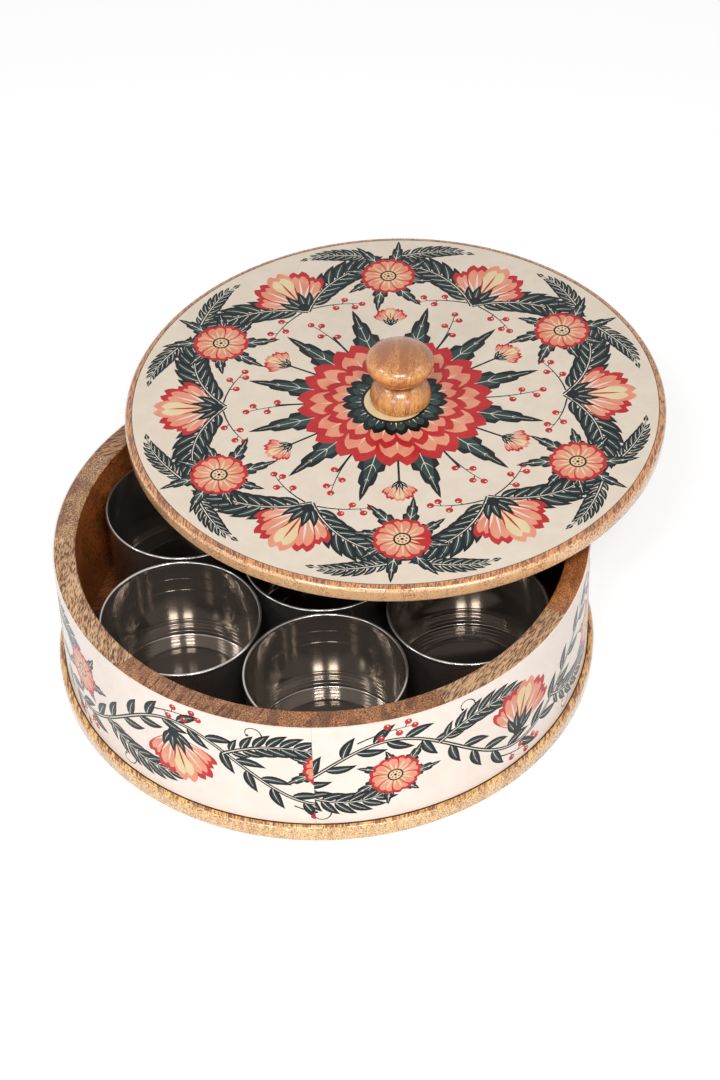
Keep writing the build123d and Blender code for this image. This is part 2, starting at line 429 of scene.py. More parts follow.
def add_piece(name, mesh, place, body, node, materials):
    """A piece that stands in for one CAD node."""
    for material in materials:
        mesh.materials.append(material)
    piece = bpy.data.objects.new(name, mesh)
    bpy.context.scene.collection.objects.link(piece)
    piece.location = place
    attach(piece, body)
    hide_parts(node)


# Base board and lid board. The woods below are light, dark and pore colours.

BOARD_STEPS = 240
EDGE_FLAT = 0.6 * MM
EDGE_FLAT_SLOPE = 36.0

BASE_EDGE = 1.5 * MM
BASE_BORDER = 2.45 * MM
# Width of the dark ring of painted shadow at the wall's foot.
BASE_JOINT_SHADOW_WIDTH = 1.6 * MM
BASE_TOP_DEPTH = 0.5 * MM
BASE_GRAIN = (0.06, 1.0, 0.14)
BASE_INSIDE_GRAIN = (1.0, 0.2, 0.0)
# The side's wood is a lighter tone of the top's: painted light on the upright faces.
BASE_LIT_SIDE_WOOD = linear(246, 206, 148), linear(178, 118, 60), linear(104, 60, 28)
BASE_TOP_WOOD = linear(240, 188, 108), linear(150, 84, 30), linear(88, 44, 16)
# Darker wood for the floor inside the wall: painted shade.
BASE_SHADED_INSIDE_WOOD = linear(138, 84, 46), linear(84, 48, 24), linear(48, 28, 16)
# A dark ring where the wall stands on the base: painted shadow in the joint.
BASE_JOINT_SHADOW_WOOD = linear(66, 40, 22), linear(40, 24, 14), linear(24, 14, 8)

LID_TOP_EDGE = 1.4 * MM
LID_TOP_SLOPE = 76.0
LID_TOP_FALL = 0.4 * MM
LID_TOP_DEPTH = 0.3 * MM
LID_LOWER_EDGE = 1.5 * MM
PRINT_CLEARANCE = 0.02 * MM
PRINT_LINE = 0.35 * MM
PRINT_LINE_OUTER_DEPTH = 0.03 * MM
PRINT_LINE_INNER_DEPTH = 0.1 * MM
LID_GRAIN = (0.12, 1.0, 0.1)
# The side's wood is a lighter tone of the top's: painted light on the upright faces.
LID_LIT_SIDE_WOOD = linear(250, 200, 148), linear(158, 98, 56), linear(110, 62, 32)
LID_TOP_WOOD = linear(226, 152, 88), linear(134, 74, 36), linear(84, 42, 18)
LID_JOINT_WOOD = linear(92, 56, 30), linear(60, 36, 20), linear(30, 18, 10)

DISC_GRAIN = (0.3, 1.0, 0.1)
DISC_WOOD = linear(198, 150, 102), linear(156, 104, 64), linear(80, 44, 24)


def worn_corner(radius, height, edge, top):
    """The upper corner of a board: two arcs, with a narrow flat between, from upright to a slope of top."""
    slope = radians(EDGE_FLAT_SLOPE)
    along, up = EDGE_FLAT * sin(slope), EDGE_FLAT * cos(slope)
    low = arc((radius - edge, height - up - edge), (edge, edge), 0, EDGE_FLAT_SLOPE, 5)
    high = arc((radius - along - edge, height - edge), (edge, edge), EDGE_FLAT_SLOPE, top, 6)
    return low + high


def add_base_board():
    """The base board. Its materials are side, inside the wall, top outside it and joint with it. The side
    is a lighter tone of the top's wood as painted light, the inside is darker as painted shade and the
    joint is a dark ring at the wall's foot as painted shadow.
    """
    _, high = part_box("base_board")
    radius, height = high.x, high.z
    inside_radius = radius - BASE_BORDER
    joint_shadow_radius = inside_radius - BASE_JOINT_SHADOW_WIDTH
    profile = [(0, 0)]
    profile += arc((radius - BASE_EDGE, BASE_EDGE), (BASE_EDGE, BASE_EDGE), -90, 0, 8)
    profile += worn_corner(radius, height, BASE_EDGE, 90)
    profile += [(inside_radius, height), (joint_shadow_radius, height), (0, height)]
    mesh = turned_mesh("base_board_round", profile, steps=BOARD_STEPS)
    for face in mesh.polygons:
        out = face.center.xy.length
        # Inside the wall the floor takes darker wood and the ring at the wall's foot a dark one: painted
        # shade and painted shadow.
        if face.center.z > height - FACE_MARGIN and out < inside_radius:
            face.material_index = 3 if out > joint_shadow_radius else 1
        elif face.center.z > height - BASE_TOP_DEPTH:
            face.material_index = 2
    # Painted light: the side takes the lighter wood, and ends below 0 lightens its front and back faces.
    side = wood("wood_base", BASE_LIT_SIDE_WOOD, BASE_GRAIN, seed=3.0, gloss=0.3, coat=1.0, ends=-0.2)
    # The floor inside the wall is darker wood: painted shade.
    shaded_inside = wood("wood_base_shaded_inside", BASE_SHADED_INSIDE_WOOD, BASE_INSIDE_GRAIN, seed=4.0)
    # The dark ring at the foot of the wall: painted shadow.
    joint = wood("wood_base_joint_shadow", BASE_JOINT_SHADOW_WOOD, BASE_INSIDE_GRAIN, seed=4.0)
    top = wood("wood_base_top", BASE_TOP_WOOD, BASE_GRAIN, seed=3.0,
               pores=0.8, gloss=0.3, coat=1.0, ends=0.0, strokes=0.9, size=1.6)
    materials = [side, shaded_inside, top, joint]
    add_piece("base_board_round", mesh, (0, 0, 0), "box", "base_board", materials)


def add_lid_board():
    """The lid board, with a recess for the print and a thin dark line round it.

    Its materials are side, line and recess, and top. The side is a lighter tone of the top's wood and its
    front and back are lighter still, as painted light.
    """
    place, radius, height = foot("lid_board")
    print_place, print_radius, _ = foot("lid_print")
    recess = print_place[2] - place[2]
    print_radius += PRINT_CLEARANCE
    line_radius = print_radius + PRINT_LINE
    profile = [(0, 0)]
    profile += arc((radius - LID_LOWER_EDGE, LID_LOWER_EDGE), (LID_LOWER_EDGE, LID_LOWER_EDGE), -90, 0, 5)
    profile += worn_corner(radius, height - LID_TOP_FALL, LID_TOP_EDGE, LID_TOP_SLOPE)
    profile += [(line_radius, height - PRINT_LINE_OUTER_DEPTH)]
    profile += [(print_radius, height - PRINT_LINE_INNER_DEPTH), (print_radius, recess), (0, recess)]
    mesh = turned_mesh("lid_board_round", profile, steps=BOARD_STEPS)
    for face in mesh.polygons:
        if face.center.z > recess - FACE_MARGIN and face.center.xy.length < line_radius:
            face.material_index = 1
        elif face.center.z > height - LID_TOP_FALL - LID_TOP_DEPTH:
            face.material_index = 2
    # Painted light: the side takes the lighter wood, and ends below 0 lightens its front and back faces.
    side = wood("wood_lid", LID_LIT_SIDE_WOOD, LID_GRAIN, seed=5.0, pores=0.35, gloss=0.3, coat=1.0, ends=-0.5)
    joint = wood("wood_lid_joint", LID_JOINT_WOOD, LID_GRAIN, seed=5.0)
    top = wood("wood_lid_top", LID_TOP_WOOD, LID_GRAIN, seed=5.0,
               pores=0.7, gloss=0.3, coat=1.0, ends=0.0, strokes=0.75, size=1.2)
    add_piece("lid_board_round", mesh, place, "lid", "lid_board", [side, joint, top])


# Knob

KNOB_STEPS = 96
KNOB_FOOT_RADIUS = 14.2 * MM
KNOB_FOOT_SWELL = 1.8 * MM
KNOB_UNDERCUT = 1.0 * MM
KNOB_WAIST_RADIUS = 7.3 * MM
KNOB_WAIST = 12.3 * MM
KNOB_HEAD_SWELL = 22.0 * MM
KNOB_GRAIN = (0.2, 0.25, 1.0)
KNOB_WOOD = linear(236, 168, 92), linear(168, 98, 48), linear(124, 62, 26)


def add_knob():
    """A turned knob: a domed foot and a flattened ball that meet at a narrow waist."""
    place, head_radius, height = foot("lid_knob")
    foot_angle = degrees(acos(KNOB_WAIST_RADIUS / KNOB_FOOT_RADIUS))
    head_angle = degrees(acos(KNOB_WAIST_RADIUS / head_radius))
    foot_rise = (KNOB_WAIST - KNOB_FOOT_SWELL) / sin(radians(foot_angle))
    head_drop = (KNOB_HEAD_SWELL - KNOB_WAIST) / sin(radians(head_angle))
    foot_centre = (KNOB_FOOT_RADIUS - KNOB_UNDERCUT, KNOB_FOOT_SWELL)
    profile = [(0, 0)]
    profile += arc(foot_centre, (KNOB_UNDERCUT, KNOB_FOOT_SWELL), -90, 0, 8)
    profile += arc((0, KNOB_FOOT_SWELL), (KNOB_FOOT_RADIUS, foot_rise), 0, foot_angle, 16)[1:]
    profile += arc((0, KNOB_HEAD_SWELL), (head_radius, head_drop), -head_angle, 0, 16)[1:]
    profile += arc((0, KNOB_HEAD_SWELL), (head_radius, height - KNOB_HEAD_SWELL), 0, 90, 20)[1:-1]
    profile += [(0, height)]
    mesh = turned_mesh("lid_knob_turned", profile, steps=KNOB_STEPS)
    material = wood("wood_knob", KNOB_WOOD, KNOB_GRAIN, seed=8.0,
                    pores=0.5, gloss=0.26, coat=0.8, ends=0.5, strokes=0.3, shine=0.2)
    add_piece("lid_knob_turned", mesh, place, "lid", "lid_knob", [material])


# Wall segments. Angles run anticlockwise from the right.

SEGMENT_STEPS = 24
RIM_EASE = 0.9 * MM
GLUE_LINE = 0.10 * MM
WALL_THICKNESS = 9.6 * MM
SKIN_THICKNESS = 0.6 * MM
INSIDE_DEPTH = 0.1 * MM
GLUE_JOINTS = (7.0, 43.0, 79.0, 115.0, 150.5, 179.0, 222.0, 258.0, 295.0, 331.0)
SEGMENT_SEED_STEP = 1.7
WALL_PORE = linear(80, 44, 24)
# The inner faces' wood, darker than the rims': painted shade inside the box.
SHADED_INSIDE_WOOD = linear(190, 108, 48), linear(104, 54, 22), WALL_PORE


def segment_woods():
    """The ten blocks, from the first joint round.

    Each is light, dark, which way the grain runs (out, along, up) and whether it has radial cracks.
    """
    tan, oak, straw = linear(222, 180, 136), linear(206, 160, 114), linear(210, 168, 124)
    brown, orange, rust = linear(192, 144, 102), linear(214, 152, 104), linear(202, 130, 74)
    amber = linear(222, 150, 96)
    deep, umber, chestnut = linear(96, 56, 30), linear(114, 70, 42), linear(120, 68, 36)
    return (
        (orange, chestnut, (0.1, 0.15, 1.0), False),
        (oak, umber, (0.1, 1.0, 0.1), False),
        (brown, deep, (0.1, 1.0, 0.1), False),
        (brown, deep, (0.35, 1.0, 0.1), False),
        (tan, umber, (0.3, 0.2, 1.0), False),
        (tan, umber, (0.5, 1.0, 0.15), False),
        (orange, umber, (0.3, 0.1, 1.0), True),
        (amber, deep, (0.2, 0.3, 1.0), False),
        (straw, umber, (-0.25, 1.0, 0.1), False),
        (rust, chestnut, (0.5, 0.5, 1.0), False),
    )


def add_wall():
    """The ring of ten blocks. The materials of a block are rim and inside; the inside is darker wood, as
    painted shade.
    """
    low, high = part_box("print_band")
    outer = high.x - SKIN_THICKNESS
    inner = outer - WALL_THICKNESS
    profile = [(inner, low.z), (outer, low.z), (outer, high.z)]
    profile += arc((inner + RIM_EASE, high.z - RIM_EASE), (RIM_EASE, RIM_EASE), 90, 180, 6)
    ends = GLUE_JOINTS[1:] + (GLUE_JOINTS[0] + 360.0,)
    gap = degrees(GLUE_LINE / 2 / outer)
    for number, (start, end, look) in enumerate(zip(GLUE_JOINTS, ends, segment_woods()), start=1):
        name = f"wall_segment_{number}"
        mesh = turned_mesh(f"{name}_block", profile, start + gap, end - gap, steps=SEGMENT_STEPS)
        for face in mesh.polygons:
            if face.center.xy.length < inner + INSIDE_DEPTH:
                face.material_index = 1
        light, dark, (out, along, up), cracked = look
        way = radians((start + end) / 2)
        grain = (out * cos(way) - along * sin(way), out * sin(way) + along * cos(way), up)
        cracks = (cos(way), sin(way), 0.0) if cracked else None
        reach = LONG_DASH_REACH if along > 0.5 else DASH_REACH
        seed = number * SEGMENT_SEED_STEP
        rim = wood(f"wood_{name}", (light, dark, WALL_PORE), grain, seed,
                   cracks=cracks, strokes=0.75, size=0.85, reach=reach)
        # The inner face takes the darker wood: painted shade.
        shaded_inside = wood(f"wood_{name}_inside", SHADED_INSIDE_WOOD, grain, seed)
        add_piece(f"{name}_block", mesh, (0, 0, 0), "box", name, [rim, shaded_inside])


# Steel cups

CUP_STEPS = 128
CUP_SHEET = 0.6 * MM
CUP_WALL_INSET = 0.9 * MM
CUP_CORNER = 1.8 * MM
CUP_LIP = 0.7 * MM
CUP_LIP_ZONE = 1.6 * MM
CUP_NECK_FOOT = 3.0 * MM
CUP_NECK_TOP = 1.5 * MM
CUP_FLOOR_DISC = 25.5 * MM
CUP_FLOOR_STEPS = 16
CUP_FLOOR_RISE = 0.4 * MM
CUP_FLOOR_DOME = 0.62 * MM
CUP_FLOOR_SLOPE = 1.2 * MM
CUP_FLOOR_ZONE = 2.0 * MM
CUP_LOW_RINGS = 4
CUP_RING_PITCH = 2.3 * MM
CUP_RING_START = 0.4
CUP_RING_DEPTH = 0.10 * MM
CUP_HIGH_RINGS = (29.0 * MM, 36.0 * MM)
CUP_HIGH_RING_DEPTH = 0.05 * MM
# A ring's height over its foot, and the share of its depth there
CUP_RING_PROFILE = ((0.0, 0.0), (0.4 * MM, 1.0), (0.7 * MM, 1.0), (1.1 * MM, 0.0))
# Extra points this far from a bend keep the shading of the long faces beside it level
CUP_SUPPORT = 0.2 * MM
CUP_FLOOR_SUPPORT = 0.3 * MM
CUP_FLOOR_SUPPORT_SHARE = 0.985

# Steel darker and warmer than bare steel: painted reflection of dark, brown surroundings.
CUP_DARKENED_STEEL = linear(156, 148, 140)
# Lighter steel for the lip: painted highlight.
CUP_LIP_HIGHLIGHT_STEEL = linear(196, 192, 187)
# Darker steel for the raised floor: painted shade, with a slightly duller polish.
CUP_SHADED_FLOOR_STEEL = linear(112, 105, 98)
SCREW_STEEL = linear(196, 192, 186)


def cup_profile(radius, height):
    """A spun cup: a floor with a raised disc, a small corner, a wall with fine rings and a rolled lip."""
    wall = radius - CUP_WALL_INSET
    shares = [step / CUP_FLOOR_STEPS for step in range(CUP_FLOOR_STEPS)] + [CUP_FLOOR_SUPPORT_SHARE, 1.0]
    outside = [(CUP_FLOOR_DISC * share, CUP_FLOOR_RISE + CUP_FLOOR_DOME * (1 - share ** 4))
               for share in shares]
    low_ring = CUP_FLOOR_DISC + CUP_FLOOR_SLOPE
    outside += [(low_ring, 0), (low_ring + CUP_FLOOR_SUPPORT, 0)]
    outside += arc((wall - CUP_CORNER, CUP_CORNER), (CUP_CORNER, CUP_CORNER), -90, 0, 10)
    rings = [(CUP_CORNER + (ring + CUP_RING_START) * CUP_RING_PITCH, CUP_RING_DEPTH)
             for ring in range(CUP_LOW_RINGS)]
    rings += [(low, CUP_HIGH_RING_DEPTH) for low in CUP_HIGH_RINGS]
    top = CUP_RING_PROFILE[-1][0]
    for low, depth in rings:
        outside.append((wall, low - CUP_SUPPORT))
        outside += [(wall - depth * share, low + rise) for rise, share in CUP_RING_PROFILE]
        outside.append((wall, low + top + CUP_SUPPORT))
    neck = height - CUP_NECK_FOOT
    outside += [(wall, neck - CUP_SUPPORT), (wall, neck), (radius - CUP_LIP, height - CUP_NECK_TOP)]
    lip = arc((radius - CUP_LIP, height - CUP_LIP), (CUP_LIP, CUP_LIP), -60, 180, 10)
    shaded_inside = []
    for (r, z), (r_next, z_next) in zip(outside, outside[1:]):
        length = hypot(r_next - r, z_next - z)
        shaded_inside.append((max(r - (z_next - z) / length * CUP_SHEET, 0), z + (r_next - r) / length * CUP_SHEET))
    shaded_inside[0] = (0, outside[0][1] + CUP_SHEET)
    return outside + lip + shaded_inside[::-1]


def add_cups():
    """Seven cups, all of one mesh. Its materials are wall, lip and raised floor. The wall's steel is
    darkened and warmed as painted reflection, the lip's is lighter as a painted highlight and the floor's
    is darker as painted shade.
    """
    low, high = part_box("cup_centre")
    radius, height = high.x, high.z - low.z
    mesh = turned_mesh("cup", cup_profile(radius, height), steps=CUP_STEPS)
    for face in mesh.polygons:
        if face.center.z > height - CUP_LIP_ZONE:
            face.material_index = 1
        elif face.center.z < CUP_FLOOR_ZONE and face.center.xy.length < CUP_FLOOR_DISC:
            face.material_index = 2
    # The wall's darker, warmer steel: painted reflection.
    mesh.materials.append(steel("steel_cup", CUP_DARKENED_STEEL, roughness=0.075))
    # The lip's lighter steel: painted highlight.
    mesh.materials.append(steel("steel_cup_lip_highlight", CUP_LIP_HIGHLIGHT_STEEL, roughness=0.12))
    # The floor's darker steel: painted shade.
    mesh.materials.append(steel("steel_cup_shaded_floor", CUP_SHADED_FLOOR_STEEL, roughness=0.09, spun=0.01))
    for node in sorted(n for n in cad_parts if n.startswith("cup_")):
        place, _, _ = foot(node)
        add_piece(f"{node}_spun", mesh, place, f"{node}_body", node, [])


def dress_cad_nodes():
    """Materials of the nodes that show their own CAD shape."""
    looks = {
        "lid_locating_disc": wood("wood_disc", DISC_WOOD, DISC_GRAIN, seed=11.0),
        "knob_screw": steel("steel_screw", SCREW_STEEL, roughness=0.25),
    }
    for node, material in looks.items():
        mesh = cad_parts[node].data
        mesh.materials.clear()
        mesh.materials.append(material)


# The print's design, drawn flat in millimetres. A drawing is a list of (colour, outline), the last on top.
# Each motif starts at the origin and grows along +X. Bare numbers in it are shares of its length, width or
# radius, angles in radians, or widths of thin lines. In the wreath and the vine they are places and lengths.
# A ribbon that is THINNEST or less to each side has a single point there.

THINNEST = 0.01
STEPS_PER_LOBE = 6
STEPS_PER_PAIR = 3
STALK = 3.2
TENDRIL_WIDTH = 0.9
VINE_PIECE = 20

LID_PARTS = 6
LID_OUTLINE_STEPS = 360
LID_ROSETTE_RADIUS = 46
WALL_STRIPS = 240
WALL_WAVE = 132.0
WALL_WAVE_HEIGHT = 18.0
WALL_VINE_STEPS = 380


def placed(drawing, x, y, heading=0.0):
    """The drawing turned by heading and moved to x, y."""
    c, s = cos(heading), sin(heading)

    def moved(outline):
        return [(x + c * u - s * v, y + s * u + c * v) for u, v in outline]

    return [(colour, moved(outline)) for colour, outline in drawing]


def circle(radius, steps, x=0.0, y=0.0):
    angles = [2 * pi * step / steps for step in range(steps)]
    return [(x + radius * cos(a), y + radius * sin(a)) for a in angles]


def walk(length, turn=0.0, curl=0.0, *, steps):
    """A line as (x, y, heading) at even steps. It bends by turn, and by curl more and more."""
    x = y = 0.0
    line = [(x, y, 0.0)]
    for step in range(steps):
        middle, after = (step + 0.5) / steps, (step + 1) / steps
        heading = turn * middle + curl * middle ** 3
        x += length / steps * cos(heading)
        y += length / steps * sin(heading)
        line.append((x, y, turn * after + curl * after ** 3))
    return line


def ribbon(line, width):
    """The outline of a line whose width is a function of the share, 0 to 1, of the way along it."""
    last = len(line) - 1
    left, right = [], []
    for number, (x, y, heading) in enumerate(line):
        half = width(number / last) / 2
        aside, up = -sin(heading) * half, cos(heading) * half
        left.append((x + aside, y + up))
        if half > THINNEST:
            right.append((x - aside, y - up))
    return left + right[::-1]


def swell(width, peak):
    """A width that is nothing at both ends and widest at peak."""
    power = -log(2) / log(peak)
    return lambda t: width * sin(pi * t ** power) if 0 < t < 1 else 0.0


def taper(start, end):
    return lambda t: start + (end - start) * t


def blade(length, width, turn, peak=0.4, steps=8):
    return ribbon(walk(length, turn, steps=steps), swell(width, peak))


def leaflet(length, width, turn=0.0):
    """A pointed leaflet: dark, with a lighter middle and a fine vein."""
    return [
        ("navy", blade(length, width, turn)),
        ("teal", blade(length * 0.80, width * 0.46, turn * 0.80, peak=0.5, steps=6)),
        ("line", ribbon(walk(length * 0.72, turn * 0.72, steps=5), taper(0.40, 0.10))),
    ]


def lobed_leaf(length, width, turn, lobes=5):
    """A broad leaf with lobes that point forwards, lighter inside, with a vein to each lobe."""
    steps = lobes * STEPS_PER_LOBE
    line = walk(length, turn, steps=steps)

    def bitten(t):
        """A width with a saw-like bite after each lobe."""
        bite = (t * lobes) % 1.0
        return width * sin(pi * t ** 0.75) * (0.60 + 0.40 * bite ** 0.8) if 0 < t < 1 else 0.0

    drawing = [("navy", ribbon(line, bitten))]
    drawing.append(("teal", ribbon(line[: steps - 4], swell(width * 0.62, 0.42))))
    for lobe in range(1, lobes):
        x, y, heading = line[int((lobe - 0.35) * steps / lobes)]
        reach = width * 0.46 * sin(pi * ((lobe + 0.5) / lobes) ** 0.75)
        for side in (-1, 1):
            vein = ribbon(walk(reach * 1.25, -side * 0.5, steps=5), taper(0.42, 0.08))
            drawing += placed([("line", vein)], x, y, heading + side * 0.78)
    drawing.append(("line", ribbon(line[: steps - 2], taper(0.75, 0.15))))
    return drawing


def frond(length, turn, curl, pairs, leaf):
    """A fern-like frond: leaflets on both sides of a curved stem, largest near the middle."""
    steps = STEPS_PER_PAIR * pairs
    line = walk(length, turn, curl, steps=steps)
    drawing = []
    for number in range(pairs):
        t = 0.08 + 0.90 * number / (pairs - 1)
        x, y, heading = line[round(t * steps)]
        size = leaf * sin(pi * (0.12 + 0.80 * t) ** 0.85) ** 0.8
        for side in (-1, 1):
            way = heading + side * (0.95 - 0.4 * t)
            drawing += placed(leaflet(size, size * 0.36, -side * 0.55), x, y, way)
    x, y, heading = line[-1]
    drawing += placed(leaflet(leaf * 0.5, leaf * 0.18), x, y, heading)
    drawing += [("navy", ribbon(line, taper(2.2, 0.6))), ("line", ribbon(line, taper(0.6, 0.2)))]
    return drawing


def petal(length, width):
    """A petal, narrow at its foot, with a rounded and slightly notched tip."""
    shares = (0, 0.2, 0.4, 0.6, 0.8, 1.0)
    side = [(length * 0.78 * t, width / 2 * (0.14 + 0.86 * sin(pi / 2 * t) ** 1.3)) for t in shares]
    tip = []
    for step in range(1, 8):
        a = pi / 2 * (1 - step / 4)
        notch = 0.10 * length if step == 4 else 0.0
        tip.append((length * (0.78 + 0.22 * cos(a)) - notch, width / 2 * sin(a)))
    return side + tip + [(x, -y) for x, y in side[::-1]]


def striped_petal(length, width, edge, body, stripe, stripes=3):
    """A petal with a coloured edge and fine stripes that fan out from its foot."""
    drawing = [(edge, petal(length, width)), (body, petal(length * 0.87, width * 0.80))]
    for number in range(stripes):
        way = 2 * number / (stripes - 1) - 1
        line = walk(length * (0.76 - 0.14 * abs(way)), way * 0.25, steps=5)
        fan = way * width / length * 0.36
        drawing += placed([(stripe, ribbon(line, swell(width * 0.09, 0.6)))], 0, 0, fan)
    return drawing


def flower_heart(radius, seeds=7):
    """The round middle of a flower, with a ring of seeds."""
    drawing = [("navy", circle(radius, 20)), ("yellow", circle(radius * 0.78, 20))]
    for number in range(seeds):
        a = number * 2 * pi / seeds
        drawing.append(("red", circle(radius * 0.13, 7, radius * 0.50 * cos(a), radius * 0.50 * sin(a))))
    return drawing + [("navy", circle(radius * 0.20, 9))]


def daisy(radius, petals=8):
    width = 2 * radius * sin(pi / petals) * 0.98
    piece = striped_petal(radius, width, "red", "salmon", "yellow")
    drawing = []
    for number in range(petals):
        drawing += placed(piece, 0, 0, number * 2 * pi / petals)
    return drawing + flower_heart(radius * 0.30)


def tulip(size):
    """A half-open flower: four outer petals and a middle one in a dark cup of sepals."""
    drawing = []
    for heading, long, wide in ((0.80, 0.82, 0.30), (0.42, 0.95, 0.36)):
        outer = striped_petal(size * long, size * wide, "red", "salmon", "line")
        drawing += placed(outer, 0, 0, heading) + placed(outer, 0, 0, -heading)
    drawing += striped_petal(size, size * 0.40, "salmon", "yellow", "red")
    for heading in (0.95, -0.95, 0.35, -0.35):
        drawing += placed(leaflet(size * 0.46, size * 0.15, -heading * 0.6), -size * 0.04, 0, heading)
    return drawing + [("navy", circle(size * 0.10, 12))]


def berry_sprig(length, turn, berries=5):
    """A thin twig with red berries on short stalks to both sides and one on its tip."""
    line = walk(length, turn, steps=berries + 1)
    drawing = [("navy", ribbon(line, taper(0.8, 0.3)))]
    for number, (x, y, heading) in enumerate(line[2:]):
        if number < berries - 1:
            way = heading + (1.1 if number % 2 else -1.1)
            drawing += placed([("navy", ribbon(walk(STALK, steps=1), taper(0.5, 0.4)))], x, y, way)
            x, y = x + STALK * cos(way), y + STALK * sin(way)
        drawing += [("red", circle(1.7, 12, x, y)), ("line", circle(0.42, 7, x + 0.5, y + 0.5))]
    return drawing


def tendril(length, turn, curl):
    """A thin line that curls up at its end, with a bead on its tip."""
    line = walk(length, turn, curl, steps=26)
    x, y, _ = line[-1]
    thread = ribbon(line, taper(TENDRIL_WIDTH, TENDRIL_WIDTH * 0.45))
    return [("navy", thread), ("navy", circle(TENDRIL_WIDTH * 0.8, 9, x, y))]


def spray(size, leaves=8, reach=1.9):
    """A daisy on a star of lobed leaves, with the longest leaves ahead and behind."""
    drawing = []
    for number in range(leaves):
        a = 2 * pi * (number + 0.5) / leaves
        drawing += placed(lobed_leaf(size * (reach + 0.25 * cos(2 * a)), size * 0.68, 0.35), 0, 0, a)
    return drawing + daisy(size)


def central_rosette(radius, count=12):
    """Three rings of striped petals over a star of long leaves, with buds and berries between the leaves."""
    drawing = []
    stalk = [("navy", ribbon(walk(radius * 1.2, steps=2), taper(1.2, 1.0)))]
    bud = placed(tulip(radius * 0.28), radius * 1.22, 0)
    berries = placed(berry_sprig(radius * 0.6, 0.3, 4), radius * 0.9, 0)
    for number in range(count):
        a = 2 * pi * (number + 0.5) / count
        drawing += placed(lobed_leaf(radius * 1.52, radius * 0.42, 0, 7), 0, 0, a)
        drawing += placed(stalk + (bud if number % 2 else berries), 0, 0, 2 * pi * number / count)
    for length, width, colours, start in (
        (1.0, 0.44, ("red", "salmon", "yellow"), 0.0),
        (0.74, 0.33, ("red", "salmon", "line"), 0.5),
        (0.54, 0.24, ("navy", "teal", "line"), 0.0),
    ):
        for number in range(count):
            a = 2 * pi * (number + start) / count
            drawing += placed(striped_petal(radius * length, radius * width, *colours, 5), 0, 0, a)
    return drawing + [("navy", circle(radius * 0.34, 40)), ("yellow", circle(radius * 0.31, 40))]


def garland(line, leaf, gap):
    """A winding vine with leaves to both sides, from a line of (x, y, heading)."""
    drawing = []
    walked, side = 0.0, 1
    for (x, y, heading), (fore, after, _) in zip(line[1:], line):
        walked += hypot(x - fore, y - after)
        if walked >= gap:
            walked -= gap
            side = -side
            drawing += placed(leaflet(leaf, leaf * 0.34, -side * 0.6), x, y, heading + side * 0.85)
    for start in range(0, len(line) - 1, VINE_PIECE):
        piece = line[start : start + VINE_PIECE + 1]
        drawing += [("navy", ribbon(piece, taper(2.0, 2.0))), ("line", ribbon(piece, taper(0.5, 0.5)))]
    return drawing


def wave_line(length, height, wave, steps):
    """A wavy line, as (x, y, heading)."""
    line = []
    for step in range(steps + 1):
        x = length * step / steps
        slope = height * 2 * pi / wave * cos(2 * pi * x / wave)
        line.append((x, height * sin(2 * pi * x / wave), atan2(slope, 1.0)))
    return line


def lid_design(radius):
    """A wreath of flowers, leaves and berries round a big rosette, in two kinds of group by turns."""
    drawing = [("ground", circle(radius, LID_OUTLINE_STEPS))]
    group = []
    for side in (-1, 1):
        piece = frond(68, turn=side * 1.15, curl=side * 0.9, pairs=12, leaf=16)
        group += placed(piece, 78, 0, side * 0.80)
        group += placed(tendril(26, turn=side * 2.4, curl=side * 3.4), 94, side * 24, side * 0.2)
        group += placed(berry_sprig(24, turn=side * 0.5, berries=4), 79, side * 3, side * 1.75)
    group += placed(tulip(30), 82, 0)
    for part in range(LID_PARTS):
        drawing += placed(group, 0, 0, 2 * pi * part / LID_PARTS)
    group = []
    for side in (-1, 1):
        piece = frond(34, turn=side * 0.25, curl=side * 0.3, pairs=8, leaf=9)
        group += placed(piece, 108, side * 5, side * 1.35)
    group += placed(spray(13.5), 93, 0)
    for part in range(LID_PARTS):
        drawing += placed(group, 0, 0, 2 * pi * (part + 0.5) / LID_PARTS)
    return drawing + central_rosette(LID_ROSETTE_RADIUS)


def wall_design(length, height):
    """A flowering vine along the wall, a little too wide for the band, so the band cuts it off."""
    step = length / WALL_STRIPS
    drawing = []
    for number in range(WALL_STRIPS):
        start, end = number * step, (number + 1) * step
        drawing.append(("ground", [(start, 0), (end, 0), (end, height), (start, height)]))
    line = wave_line(length + 2 * WALL_WAVE, WALL_WAVE_HEIGHT, WALL_WAVE, WALL_VINE_STEPS)
    drawing += placed(garland(line, leaf=14.5, gap=7.6), -WALL_WAVE, height / 2)
    for number in range(int(length / WALL_WAVE * 2) + 4):
        side = -1 if number % 2 else 1
        piece = frond(58, turn=side * 1.1, curl=side * 0.6, pairs=10, leaf=13)
        group = placed(piece, -44, side * -8, side * -0.62)
        group += placed(berry_sprig(26, turn=-side * 0.6), -14, side * 19, side * 0.5)
        group += placed(tendril(28, turn=side * 2.0, curl=side * 3.5), 30, side * 14, side * 0.1)
        if number % 3:
            group += placed(spray(12.0, leaves=7, reach=1.6), 2, -side * 4, 0.3)
        else:
            group += placed(tulip(29), -2, side * 10, -side * 1.35)
        drawing += placed(group, WALL_WAVE * (number / 2 - 0.75), height / 2)
    return drawing


# Printed skins. An ink is its colour and the colour that clouds it.

